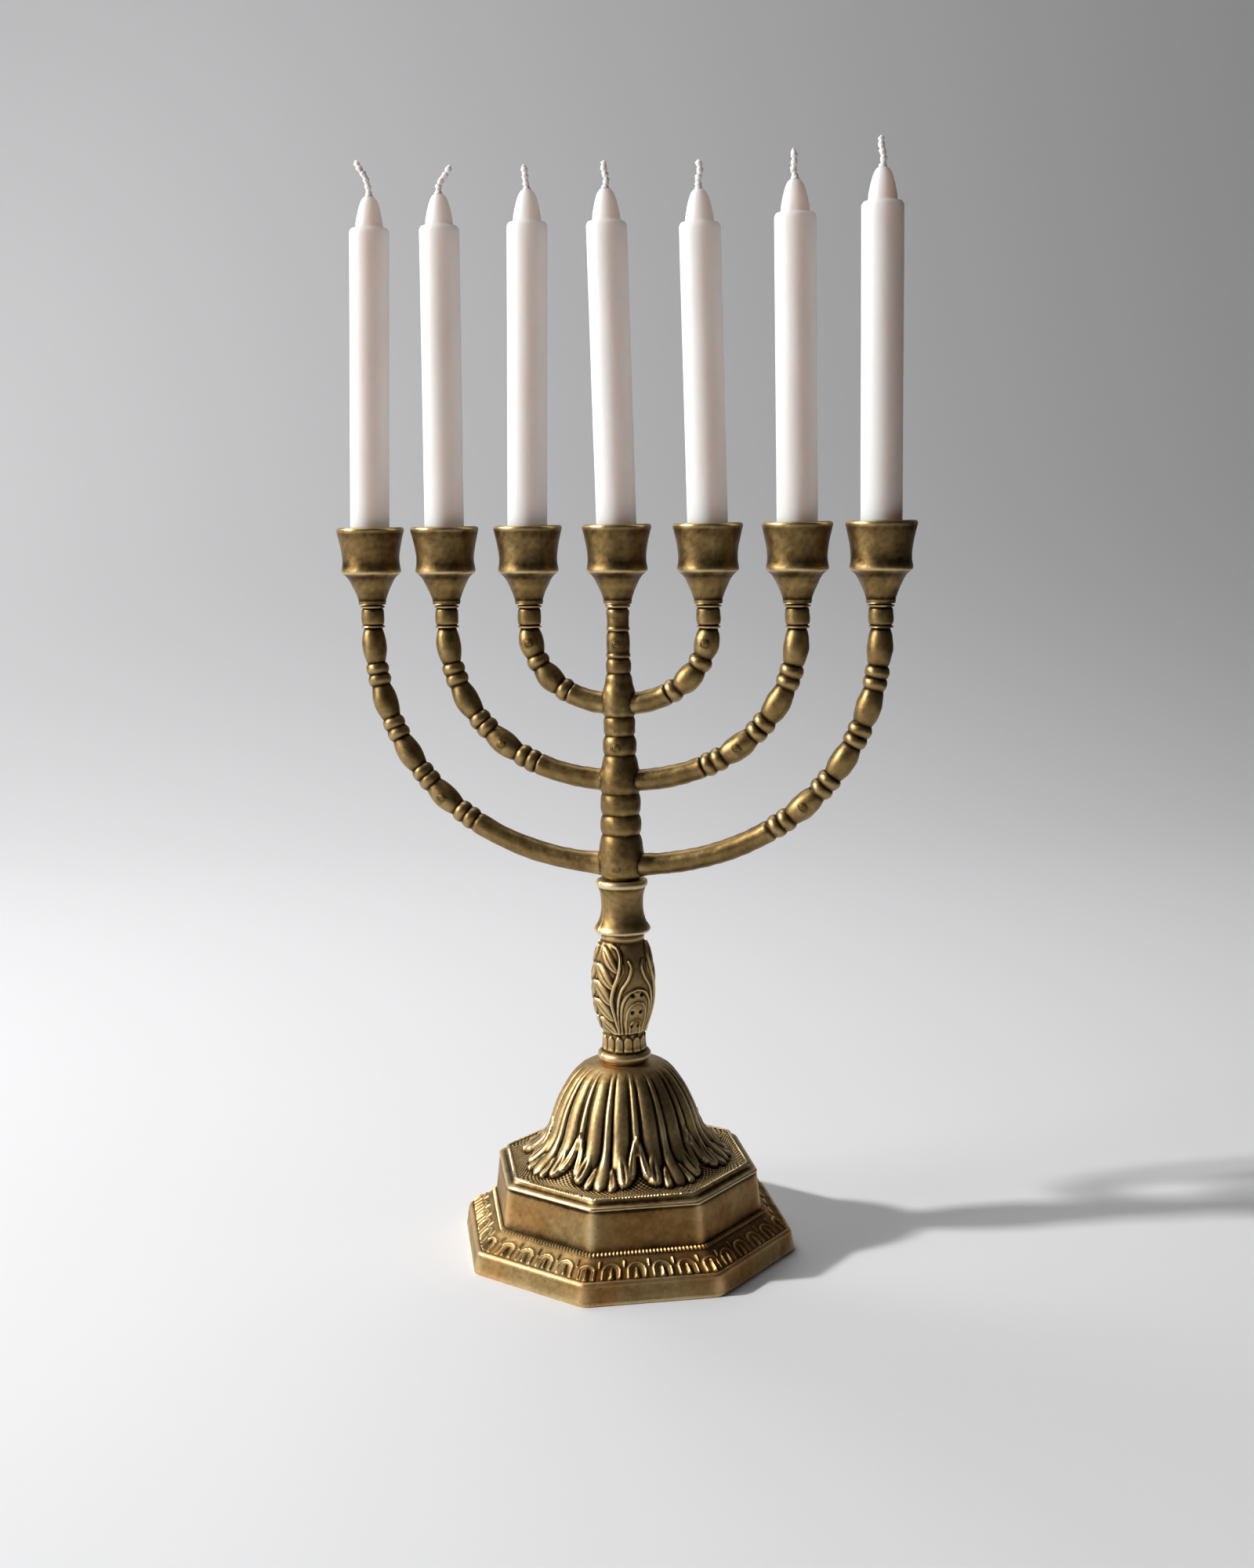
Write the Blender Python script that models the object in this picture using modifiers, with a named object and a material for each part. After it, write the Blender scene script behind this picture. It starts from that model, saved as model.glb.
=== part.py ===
"""A seven-branched candelabrum (menorah), cast in brass-finished metal, with its seven candles.

Frame: origin at the centre of the base on the table, +Z up, the arms along X, front towards -Y.
The base casting carries a turned stem, and the stem carries the branch frame. One threaded rod
runs down from the branch frame through stem and base, and a washer and nut under the base hold
the stack together. Seven cups are screwed onto the tips of the branches, and a candle stands
loose in each of them.
"""
import math

import bmesh
import bpy

MM = 0.001
GAP = 0.3 * MM                    # clearance between two pieces that touch on the real object
OVERSHOOT = 3 * MM                # how far a cutter runs on past the face that it cuts through

# Driving dimensions, in metres.
PLINTH_R = 90 * MM                # corner to centre of the octagonal foot
PLINTH_TOP_Z = 44.5 * MM          # flat top of the plinth, where the leaves lie
CAST_WALL = 3 * MM                # wall thickness of the hollow base casting
BELL_TOP_Z = 96 * MM              # flat crown of the bell, the seat of the stem
STEM_TOP_Z = 192.5 * MM           # top of the stem, the seat of the branch frame
BRANCH_END_Z = 332.7 * MM         # every branch ends at this height, under its cup
RIM_Z = 372.7 * MM                # rim of all seven cups
SOCKET_R = 10.9 * MM              # bore that takes a candle
SOCKET_DEPTH = 20 * MM
CANDLE_R = 10.1 * MM
CANDLE_SHOULDER_Z = 518 * MM      # where the middle candle's body ends and its cone begins
CANDLE_CONE = 16 * MM             # height of the cone above the shoulder
CANDLE_RISE = tuple(rise * MM for rise in (3.5, 2.5, 2, 0, -3, -1, 2))    # against the middle one
WICK_R = 1.5 * MM
WICK_TOPS = tuple(top * MM for top in (555, 550.5, 547.5, 547, 544.5, 545.5, 549))
ROD_R = 3 * MM                    # M6 tie rod
ROD_BOTTOM_Z = 78 * MM
ROD_TOP_Z = 222 * MM
NUT_ACROSS_FLATS = 10 * MM
NUT_HEIGHT = 5 * MM
WASHER_R = 9 * MM
WASHER_THICKNESS = 1.5 * MM
CUP_SCREW_R = 1.9 * MM            # M4 screw through each cup's floor
CUP_SCREW_LENGTH = 30 * MM
SCREW_HEAD_R = 3.6 * MM
SCREW_HEAD_HEIGHT = 2.2 * MM

# Each branch is half a rounded arch: reach along X, drop below the arch's centre height.
ARCH_CENTRE_Z = 322.5 * MM
ARCH_POWER = 2.15                 # 2 is an ellipse, more is squarer
ARCHES = {
    "inner": {"reach": 46.4 * MM, "drop": 40 * MM, "spindles": 2, "rings": 1},
    "middle": {"reach": 90.8 * MM, "drop": 79 * MM, "spindles": 3, "rings": 2},
    "outer": {"reach": 131.5 * MM, "drop": 122.5 * MM, "spindles": 4, "rings": 2},
}
BRANCH_R = 5.4 * MM               # plain stretch beside the shaft
SPINDLE_R = 6.2 * MM
SPINDLE_LENGTH = 18.3 * MM
RING_R = 5.9 * MM
RING_PITCH = 5.7 * MM
NECK_R = 4.9 * MM
BARREL_R = 6 * MM
BARREL_LENGTH = 8.2 * MM

OCTAGON = 8
BELL_STEPS = 40
STEM_STEPS = 20
SHAFT_STEPS = 16
CUP_STEPS = 16
SCREW_STEPS = 10


def clear_scene():
    for old in list(bpy.data.objects):
        bpy.data.objects.remove(old, do_unlink=True)


def make_collection(name):
    collection = bpy.data.collections.new(name)
    bpy.context.scene.collection.children.link(collection)
    return collection


def principled(name, color, roughness, metallic):
    material = bpy.data.materials.new(name)
    material.use_nodes = True
    shader = material.node_tree.nodes["Principled BSDF"]
    shader.inputs["Base Color"].default_value = (*color, 1)
    shader.inputs["Roughness"].default_value = roughness
    shader.inputs["Metallic"].default_value = metallic
    return material


def turned(name, profile, steps, collection, material=None, closed=True, at=(0, 0)):
    """Turn a profile of (radius, height) points about Z; the points run down the outer side."""
    mesh = bpy.data.meshes.new(name)
    edges = [(i, i + 1) for i in range(len(profile) - 1)]
    if closed:
        edges.append((len(profile) - 1, 0))
    mesh.from_pydata([(radius, 0, height) for radius, height in profile], edges, [])
    obj = bpy.data.objects.new(name, mesh)
    collection.objects.link(obj)
    obj.location = (at[0], at[1], 0)
    screw = obj.modifiers.new("turn", "SCREW")
    screw.axis = "Z"
    screw.steps = steps
    screw.render_steps = steps
    screw.use_merge_vertices = True
    screw.merge_threshold = 0.00001
    screw.use_smooth_shade = steps > OCTAGON
    if material:
        mesh.materials.append(material)
    return obj


def millimetres(profile):
    return [(radius * MM, height * MM) for radius, height in profile]


def hide_tool(obj):
    obj.hide_render = True
    obj.display_type = "WIRE"


def boolean(obj, other, operation):
    modifier = obj.modifiers.new(operation.lower() + " " + other.name, "BOOLEAN")
    modifier.operation = operation
    modifier.solver = "EXACT"
    modifier.object = other


def cylinder_tool(name, radius, bottom, top, tools, at=(0, 0), sides=16):
    """A plain cutter along Z between two heights."""
    bpy.ops.mesh.primitive_cylinder_add(
        vertices=sides, radius=radius, depth=top - bottom, location=(at[0], at[1], (top + bottom) / 2))
    obj = bpy.context.active_object
    obj.name = name
    for old in list(obj.users_collection):
        old.objects.unlink(obj)
    tools.objects.link(obj)
    hide_tool(obj)
    return obj


# ---------------------------------------------------------------- base

def plinth_profile():
    """Wall section of the octagonal plinth: down the outside, then up the inside."""
    outside = millimetres([
        (65, 44.5), (66.6, 44.2), (67.6, 42.8), (69.2, 41.4), (69.8, 40.4), (72.2, 19.6),
        (74, 19.2), (75, 18), (85.6, 11.2), (87.4, 9.9), (88.2, 8),
    ])
    inside = millimetres([
        (86, 0), (84.6, 6.8), (72, 15.2), (69.2, 17.5), (66.8, 39), (63.5, 41.2), (46, 41.2),
    ])
    return outside + [(PLINTH_R, 0)] + inside + [(46 * MM, PLINTH_TOP_Z)]


def bell_profile():
    """Wall section of the bell, from the rod hole over the crown and out to the leaf edge."""
    hole = ROD_R + GAP
    outside = millimetres([
        (19.2, 96), (22.5, 93), (27, 87), (30.8, 81), (33.7, 75), (36, 69), (38.5, 63),
        (41.6, 58), (46.5, 53), (53, 49), (59.5, 45.5), (60, 43),
    ])
    inside = millimetres([(42, 43), (38.6, 54), (35.6, 62), (32.8, 70), (29.6, 77), (24.4, 86), (17.5, 92.7)])
    return [(hole, BELL_TOP_Z)] + outside + inside + [(hole, BELL_TOP_Z - CAST_WALL)]


def add_leaf_tips(base, tools, count=OCTAGON):
    """The curled tip of each big leaf, one towards every corner of the plinth."""
    for index in range(count):
        angle = 2 * math.pi * index / count
        bpy.ops.mesh.primitive_uv_sphere_add(segments=10, ring_count=6, radius=1)
        tip = bpy.context.active_object
        tip.name = f"leaf_tip_{index + 1}"
        for vertex in tip.data.vertices:
            vertex.co = (vertex.co.x * 8 * MM, vertex.co.y * 5 * MM, vertex.co.z * 3.4 * MM)
        tip.location = (56 * MM * math.cos(angle), 56 * MM * math.sin(angle), 46.6 * MM)
        tip.rotation_euler = (0, math.radians(10), angle)
        for old in list(tip.users_collection):
            old.objects.unlink(tip)
        tools.objects.link(tip)
        hide_tool(tip)
        boolean(base, tip, "UNION")


def make_base(parts, tools, material):
    base = turned("base_casting", plinth_profile(), OCTAGON, parts, material)
    bell = turned("bell_shell", bell_profile(), BELL_STEPS, tools)
    hide_tool(bell)
    boolean(base, bell, "UNION")
    add_leaf_tips(base, tools)
    return base


# ---------------------------------------------------------------- stem

def make_stem(parts, material):
    """A leaf-wrapped baluster under a waisted spool, cast in one and bored for the tie rod."""
    bore = ROD_R + GAP
    outside = millimetres([
        (13.7, 98.6), (12.3, 101.8), (11.1, 105), (11.5, 110.7), (11.2, 113.6), (13.3, 119.4),
        (15.7, 128.2), (16.5, 137), (16.6, 143), (15.5, 148.6), (13.2, 157.4), (11.8, 160.3),
        (14, 163.6), (14.4, 166.1), (13.4, 169), (11.2, 173.6), (10.7, 179.5), (11.3, 185.4),
        (13.1, 189.2), (12.5, 192.5),
    ])
    outside.reverse()
    bottom = BELL_TOP_Z + GAP
    profile = [(bore, STEM_TOP_Z)] + outside + [(13.2 * MM, bottom), (bore, bottom)]
    return turned("stem_baluster", profile, STEM_STEPS, parts, material)


# ---------------------------------------------------------------- branch frame

def arch_point(arch, angle):
    """A point of the rounded arch; the angle runs from 0 at the lowest point to 90 degrees."""
    across = math.sin(angle) ** (2 / ARCH_POWER)
    down = math.cos(angle) ** (2 / ARCH_POWER)
    return arch["reach"] * across, ARCH_CENTRE_Z - arch["drop"] * down


def arch_path(arch, steps=160):
    """Points (x, z, distance) of one branch from its tip, down its leg and in to the shaft."""
    points = [(arch["reach"], BRANCH_END_Z)]
    for index in range(steps + 1):
        points.append(arch_point(arch, math.pi / 2 * (1 - index / steps)))
    path = []
    distance = 0
    for index, (x, z) in enumerate(points):
        if index:
            distance += math.dist(points[index - 1], (x, z))
        path.append((x, z, distance))
    return path


def branch_beads(arch, length):
    """(distance from the tip, radius) along a branch: barrel, spindles and rings, plain bar."""
    beads = [(0, RING_R), (1.6 * MM, NECK_R), (3 * MM, BARREL_R), (3 * MM + BARREL_LENGTH, BARREL_R)]
    at = 3 * MM + BARREL_LENGTH + 2 * MM
    for _ in range(arch["spindles"]):
        beads += [
            (at, NECK_R),
            (at + 0.33 * SPINDLE_LENGTH, SPINDLE_R),
            (at + 0.67 * SPINDLE_LENGTH, SPINDLE_R),
            (at + SPINDLE_LENGTH, NECK_R),
        ]
        at += SPINDLE_LENGTH
        for ring in range(arch["rings"]):
            if ring:
                beads.append((at, NECK_R))
            beads += [(at + 0.35 * RING_PITCH, RING_R), (at + 0.75 * RING_PITCH, RING_R)]
            at += RING_PITCH
    plain_start = at + 2 * MM
    plain_steps = 2 + arch["spindles"]
    for index in range(plain_steps + 1):
        beads.append((plain_start + (length - plain_start) * index / plain_steps, BRANCH_R))
    return beads


def point_at(path, distance):
    for (x0, z0, d0), (x1, z1, d1) in zip(path, path[1:]):
        if d1 >= distance:
            share = (distance - d0) / (d1 - d0)
            return x0 + (x1 - x0) * share, z0 + (z1 - z0) * share
    return path[-1][:2]


def make_arch(name, arch, tools):
    """A whole arch as one beaded bar, tip to tip through the shaft, turned into a mesh."""
    path = arch_path(arch)
    beads = branch_beads(arch, path[-1][2])
    half = [(*point_at(path, distance), radius) for distance, radius in beads]
    whole = half + [(-x, z, radius) for x, z, radius in reversed(half[:-1])]
    curve = bpy.data.curves.new(name, "CURVE")
    curve.dimensions = "3D"
    curve.bevel_depth = BRANCH_R
    curve.bevel_resolution = 2
    curve.use_fill_caps = True
    curve.twist_mode = "MINIMUM"
    spline = curve.splines.new("POLY")
    spline.points.add(len(whole) - 1)
    for point, (x, z, radius) in zip(spline.points, whole):
        point.co = (x, 0, z, 1)
        point.radius = radius / BRANCH_R
    bar = bpy.data.objects.new(name + "_bar", curve)
    tools.objects.link(bar)
    bpy.context.view_layer.update()
    evaluated = bar.evaluated_get(bpy.context.evaluated_depsgraph_get())
    mesh = bpy.data.meshes.new_from_object(evaluated)
    welded = bmesh.new()
    welded.from_mesh(mesh)
    bmesh.ops.remove_doubles(welded, verts=welded.verts, dist=0.00001)
    bmesh.ops.recalc_face_normals(welded, faces=welded.faces)
    welded.to_mesh(mesh)
    welded.free()
    solid = bpy.data.objects.new(name, mesh)
    solid.matrix_world = bar.matrix_world
    tools.objects.link(solid)
    bpy.data.objects.remove(bar, do_unlink=True)
    hide_tool(solid)
    return solid


def make_branch_frame(parts, tools, material):
    """The shaft with its three arches in one casting, drilled for the rod and the cup screws."""
    bottom = (STEM_TOP_Z + GAP) / MM
    top = BRANCH_END_Z / MM
    outside = [
        (6, top), (4.9, top - 1.6), (5.6, top - 3), (5.8, top - 11), (6.1, 317), (6.1, 300), (6.9, 293),
        (8.4, 283), (8.2, 272), (7.6, 266), (8.6, 262), (8.6, 254), (9.8, 246), (10.6, 236),
        (10.2, 230), (10.6, 226), (10.2, 218), (10.8, 210), (11.6, 203), (11.2, 197), (10.6, bottom),
    ]
    profile = [(0, top)] + outside + [(0, bottom)]
    frame = turned("branch_frame", millimetres(profile), SHAFT_STEPS, parts, material, closed=False)
    for name, arch in ARCHES.items():
        boolean(frame, make_arch("arch_" + name, arch, tools), "UNION")
    rod_hole = cylinder_tool("rod_hole", ROD_R + GAP, STEM_TOP_Z - OVERSHOOT, ROD_TOP_Z + 1 * MM, tools)
    boolean(frame, rod_hole, "DIFFERENCE")
    for number, x in enumerate(cup_places(), 1):
        hole = cylinder_tool(
            f"screw_hole_{number}", CUP_SCREW_R + GAP, screw_bottom() - 1 * MM, BRANCH_END_Z + 1 * MM,
            tools, (x, 0), SCREW_STEPS)
        boolean(frame, hole, "DIFFERENCE")
    return frame


# ---------------------------------------------------------------- cups, screws, candles

def cup_places():
    """X of the seven cups, left to right."""
    reaches = [arch["reach"] for arch in ARCHES.values()]
    return [-reach for reach in reversed(reaches)] + [0] + reaches


def socket_floor():
    return RIM_Z - SOCKET_DEPTH


def screw_head_seat():
    return socket_floor() - SCREW_HEAD_HEIGHT - GAP


def screw_bottom():
    return screw_head_seat() - CUP_SCREW_LENGTH


def cup_profile():
    """Waisted drum over a funnel, with the candle's socket above a recess for the screw head."""
    outside = millimetres([
        (17, 372.7), (17.5, 371.2), (17, 369), (15.5, 362), (15.1, 356), (15.5, 351), (14.4, 347.2),
        (10.4, 343), (8.8, 338.5), (7.6, 334.6),
    ])
    neck = BRANCH_END_Z + GAP
    head = SCREW_HEAD_R + GAP
    shank = CUP_SCREW_R + GAP
    seat = screw_head_seat()
    inside = [
        (shank, neck), (shank, seat), (head, seat), (head, socket_floor()), (SOCKET_R, socket_floor()),
    ]
    return outside + [(7.2 * MM, neck)] + inside + [(SOCKET_R, RIM_Z)]


def screw_profile():
    seat = screw_head_seat() + GAP
    top = socket_floor() - GAP
    return [
        (0, top), (SCREW_HEAD_R - 0.6 * MM, top), (SCREW_HEAD_R, top - 0.8 * MM), (SCREW_HEAD_R, seat),
        (CUP_SCREW_R, seat), (CUP_SCREW_R, screw_bottom()), (0, screw_bottom()),
    ]


def candle_profile(shoulder):
    """A straight candle with a bevelled shoulder and a blunt cone, bored for its wick."""
    foot = socket_floor() + GAP
    hole = WICK_R + GAP
    tip = shoulder + CANDLE_CONE
    cone_r = 7.2 * MM
    bevel = 0.6 * MM
    return [
        (hole, tip), (2.4 * MM, tip), (3.5 * MM, tip - 2 * MM), (cone_r, shoulder),
        (CANDLE_R - bevel, shoulder), (CANDLE_R, shoulder - bevel), (CANDLE_R, foot), (hole, foot),
    ]


def make_wick(name, x, top, parts, material):
    """A cotton wick from the candle's foot to a free end above its tip."""
    curve = bpy.data.curves.new(name, "CURVE")
    curve.dimensions = "3D"
    curve.bevel_depth = WICK_R
    curve.bevel_resolution = 2
    curve.use_fill_caps = True
    spline = curve.splines.new("POLY")
    spline.points.add(1)
    for point, height in zip(spline.points, (socket_floor() + 2 * GAP, top)):
        point.co = (0, 0, height, 1)
    curve.materials.append(material)
    wick = bpy.data.objects.new(name, curve)
    wick.location = (x, 0, 0)
    parts.objects.link(wick)


def make_cups_and_candles(parts, brass, steel, wax, cotton):
    for number, x in enumerate(cup_places(), 1):
        turned(f"candle_cup_{number}", cup_profile(), CUP_STEPS, parts, brass, at=(x, 0))
        turned(f"cup_screw_{number}", screw_profile(), SCREW_STEPS, parts, steel, closed=False, at=(x, 0))
        shoulder = CANDLE_SHOULDER_Z + CANDLE_RISE[number - 1]
        turned(f"candle_{number}", candle_profile(shoulder), CUP_STEPS, parts, wax, at=(x, 0))
        make_wick(f"wick_{number}", x, WICK_TOPS[number - 1], parts, cotton)


# ---------------------------------------------------------------- rod, washer, nut

def make_fasteners(parts, tools, steel):
    rod = [(0, ROD_TOP_Z), (ROD_R, ROD_TOP_Z), (ROD_R, ROD_BOTTOM_Z), (0, ROD_BOTTOM_Z)]
    turned("tie_rod", rod, 16, parts, steel, closed=False)
    hole = ROD_R + GAP
    top = BELL_TOP_Z - CAST_WALL - GAP
    bottom = top - WASHER_THICKNESS
    washer = [(hole, top), (WASHER_R, top), (WASHER_R, bottom), (hole, bottom)]
    turned("washer", washer, 20, parts, steel)
    nut_top = bottom - GAP
    corner = NUT_ACROSS_FLATS / 2 / math.cos(math.pi / 6)
    nut_bottom = nut_top - NUT_HEIGHT
    block = [(0, nut_top), (corner, nut_top), (corner, nut_bottom), (0, nut_bottom)]
    nut = turned("hex_nut", block, 6, parts, steel, closed=False)
    thread = cylinder_tool("nut_thread", hole, nut_bottom - OVERSHOOT, nut_top + OVERSHOOT, tools)
    boolean(nut, thread, "DIFFERENCE")


def main():
    clear_scene()
    parts = make_collection("menorah")
    tools = make_collection("cutters")
    brass = principled("antique_brass", (0.36, 0.26, 0.12), 0.42, 0.9)
    steel = principled("zinc_steel", (0.5, 0.5, 0.5), 0.35, 1.0)
    wax = principled("white_wax", (0.86, 0.84, 0.8), 0.5, 0.0)
    cotton = principled("wick_cotton", (0.8, 0.78, 0.72), 0.9, 0.0)
    make_base(parts, tools, brass)
    make_stem(parts, brass)
    make_branch_frame(parts, tools, brass)
    make_cups_and_candles(parts, brass, steel, wax, cotton)
    make_fasteners(parts, tools, steel)


main()
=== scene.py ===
"""The looks of a cast brass menorah with seven candles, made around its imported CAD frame.

Every piece is a dense mesh laid over the solid that it stands for: the castings carry their
leaves, flutes, arches and beads as real relief, and a "wear" value on each point of the metal
tells the brass material where hands have polished it and where the dark patina has stayed.
"""
import math

import bmesh
import bpy
import numpy as np
from mathutils import Matrix, Vector


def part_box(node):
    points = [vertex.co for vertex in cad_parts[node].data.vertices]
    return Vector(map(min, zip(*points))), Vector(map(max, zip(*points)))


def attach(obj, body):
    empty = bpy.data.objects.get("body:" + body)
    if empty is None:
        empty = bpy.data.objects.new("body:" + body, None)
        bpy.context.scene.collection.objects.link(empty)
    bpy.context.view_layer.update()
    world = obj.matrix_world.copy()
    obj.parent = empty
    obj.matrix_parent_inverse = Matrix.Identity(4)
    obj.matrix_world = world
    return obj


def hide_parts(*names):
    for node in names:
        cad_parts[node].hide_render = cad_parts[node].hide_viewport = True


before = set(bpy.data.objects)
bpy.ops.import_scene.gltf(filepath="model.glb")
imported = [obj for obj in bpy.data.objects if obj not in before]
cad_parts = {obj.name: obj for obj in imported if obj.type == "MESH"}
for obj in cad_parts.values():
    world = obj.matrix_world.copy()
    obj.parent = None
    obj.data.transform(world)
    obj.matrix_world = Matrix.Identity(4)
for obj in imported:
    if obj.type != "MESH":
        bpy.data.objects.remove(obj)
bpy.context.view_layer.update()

MM = 0.001

# Places that the CAD frame gives, in millimetres.
base_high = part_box("base_casting")[1] / MM
stem_low, stem_high = (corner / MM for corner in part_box("stem_baluster"))
branch_low, branch_high = (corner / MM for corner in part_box("branch_frame"))
cup_low, cup_high = (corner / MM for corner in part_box("candle_cup_4"))
CUP_COUNT = 7
CUP_X = [sum(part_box(f"candle_cup_{n}")[i].x for i in (0, 1)) / 2 / MM for n in range(1, CUP_COUNT + 1)]

ROD_HOLE_R = 3.3                        # the hole for the tie rod through base, stem and shaft

CAMERA_TURN = math.radians(14.3)        # the camera stands to the right of the front
RIGHT = np.array([math.cos(CAMERA_TURN), math.sin(CAMERA_TURN), 0])
FORWARD = np.array([-math.sin(CAMERA_TURN), math.cos(CAMERA_TURN), 0])
rng = np.random.default_rng(7)


# ---------------------------------------------------------------- shapes by formula

def smoothstep(low, high, value):
    share = np.clip((np.asarray(value, float) - low) / (high - low), 0, 1)
    return share * share * (3 - 2 * share)


def spline(points, step):
    """Points every step along a smooth curve through the given ones."""
    points = np.asarray(points, float)
    lengths = np.concatenate([[0], np.cumsum(np.linalg.norm(np.diff(points, axis=0), axis=1))])
    slopes = np.gradient(points, lengths, axis=0)
    at = np.linspace(0, lengths[-1], max(2, int(round(lengths[-1] / step)) + 1))
    left = np.clip(np.searchsorted(lengths, at, side="right") - 1, 0, len(points) - 2)
    span = (lengths[left + 1] - lengths[left])[:, None]
    t = (at - lengths[left])[:, None] / span
    a, b = points[left], points[left + 1]
    ma, mb = slopes[left] * span, slopes[left + 1] * span
    return ((2 * t**3 - 3 * t**2 + 1) * a + (t**3 - 2 * t**2 + t) * ma
            + (3 * t**2 - 2 * t**3) * b + (t**3 - t**2) * mb)


def chain(*stretches, step):
    """Smooth stretches end to end, with a crease where two of them meet."""
    rows = [spline(stretch, step) for stretch in stretches]
    return np.concatenate([rows[0]] + [row[1:] for row in rows[1:]])


def profile_normals(rows):
    """Unit normals (radial, up) of a profile that runs down its outer side."""
    tangent = np.gradient(rows, axis=0)
    tangent /= np.linalg.norm(tangent, axis=1)[:, None] + 1e-12
    return np.stack([-tangent[:, 1], tangent[:, 0]], axis=1)


def arc_lengths(rows):
    return np.concatenate([[0], np.cumsum(np.linalg.norm(np.diff(rows, axis=0), axis=1))])


def turns(count):
    return np.arange(count) * 2 * math.pi / count


def octagon(theta, sharpness=110):
    """Radius of an octagon with corners on the axes against its corner radius, edges softened."""
    total = np.zeros_like(theta)
    for side in range(8):
        facing = np.cos(theta - math.radians(22.5 + 45 * side))
        total += np.clip(facing, 0, None) ** sharpness
    return math.cos(math.radians(22.5)) * total ** (-1 / sharpness)


def ripple(x, y, z, pitch):
    """Smooth, irregular waves between -1 and 1 with roughly the given pitch."""
    k = 2 * math.pi / pitch
    waves = (np.sin(k * (x + 0.6 * y + 0.2 * z)) + np.sin(k * 0.83 * (y - 0.7 * z + 0.3 * x) + 1.7)
             + np.sin(k * 1.21 * (z + 0.5 * x - 0.4 * y) + 4.1) + np.sin(k * 0.57 * (x - y + z) + 2.3))
    return waves / 4


def ridge_along(x, y, points, width, height):
    """A rounded ridge over a polyline on a flattened surface."""
    nearest = np.full(np.broadcast(x, y).shape, 1e9)
    points = spline(points, 0.8)
    for (ax, ay), (bx, by) in zip(points, points[1:]):
        dx, dy = bx - ax, by - ay
        t = np.clip(((x - ax) * dx + (y - ay) * dy) / (dx * dx + dy * dy + 1e-12), 0, 1)
        nearest = np.minimum(nearest, np.hypot(x - ax - t * dx, y - ay - t * dy))
    return height * np.exp(-(nearest / width) ** 2)


def petal(x, y, root, tip, width, height):
    """A rounded leaf lobe from root to tip with a vein along its middle."""
    dx, dy = tip[0] - root[0], tip[1] - root[1]
    length = math.hypot(dx, dy)
    along = ((x - root[0]) * dx + (y - root[1]) * dy) / length**2
    across = ((y - root[1]) * dx - (x - root[0]) * dy) / length
    t = np.clip(along, 0, 1)
    half = width * np.sin(math.pi * np.clip(t, 1e-4, 1 - 1e-4) ** 1.25) ** 0.5
    inside = np.clip(1 - (across / np.maximum(half, 1e-3)) ** 2, 0, 1)
    vein = 1 - 0.3 * np.exp(-(across / 0.5) ** 2) * smoothstep(1, 0.6, t)
    return height * np.sqrt(inside) * vein * ((along > 0) & (along < 1))


# ---------------------------------------------------------------- meshes

def bridge(start_a, count_a, start_b, count_b):
    """Faces between two rings of points whose counts are whole multiples of each other."""
    faces = []
    if count_a >= count_b:
        k = count_a // count_b
        for i in range(count_b):
            upper = [start_a + (i * k + j) % count_a for j in range(k, -1, -1)]
            faces.append(upper + [start_b + i, start_b + (i + 1) % count_b])
    else:
        k = count_b // count_a
        for i in range(count_a):
            lower = [start_b + (i * k + j) % count_b for j in range(k + 1)]
            faces.append([start_a + (i + 1) % count_a, start_a + i] + lower)
    return faces


def ring_mesh(name, rings, loop=False, caps=False):
    """A mesh from rings of points in millimetres, each joined to the next."""
    starts = np.concatenate([[0], np.cumsum([len(ring) for ring in rings])])
    faces = []
    pairs = list(zip(range(len(rings) - 1), range(1, len(rings))))
    if loop:
        pairs.append((len(rings) - 1, 0))
    for i, j in pairs:
        faces += bridge(int(starts[i]), len(rings[i]), int(starts[j]), len(rings[j]))
    if caps:
        faces.append(list(range(len(rings[0]))))
        faces.append([int(starts[-2]) + k for k in reversed(range(len(rings[-1])))])
    mesh = bpy.data.meshes.new(name)
    mesh.from_pydata((np.concatenate(rings) * MM).tolist(), [], faces)
    mesh.update()
    return mesh


def turned_rings(rows, counts, heights=None, octagonal=None, centre=(0, 0)):
    """Rings of a turned body: rows are (radius, z), heights(theta, row) lifts each along its normal."""
    normals = profile_normals(rows)
    rings = []
    for index, (radius, z) in enumerate(rows):
        theta = turns(counts[index])
        share = octagonal[index] if octagonal is not None else 0
        around = radius * (1 - share + share * octagon(theta)) if share else np.full_like(theta, radius)
        lift = heights(theta, index) if heights else 0
        r = around + lift * normals[index, 0]
        high = z + lift * normals[index, 1]
        ring = np.stack([centre[0] + r * np.cos(theta), centre[1] + r * np.sin(theta),
                         np.broadcast_to(high, theta.shape)], axis=1)
        rings.append(ring)
    return rings


def put(name, mesh):
    obj = bpy.data.objects.new(name, mesh)
    bpy.context.scene.collection.objects.link(obj)
    return obj


def face_outwards(mesh):
    work = bmesh.new()
    work.from_mesh(mesh)
    bmesh.ops.recalc_face_normals(work, faces=work.faces)
    work.to_mesh(mesh)
    work.free()


def smooth_finish(obj, angle=50):
    obj.data.shade_smooth()
    obj.data.set_sharp_from_angle(angle=math.radians(angle))


def points_of(mesh):
    co = np.zeros(len(mesh.vertices) * 3, np.float32)
    mesh.vertices.foreach_get("co", co)
    return co.reshape(-1, 3).astype(float)


def store(mesh, name, values):
    attribute = mesh.attributes.get(name) or mesh.attributes.new(name, "FLOAT", "POINT")
    attribute.data.foreach_set("value", np.asarray(values, np.float32))


UNRUBBED = -0.3                        # wear inside a casting


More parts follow.
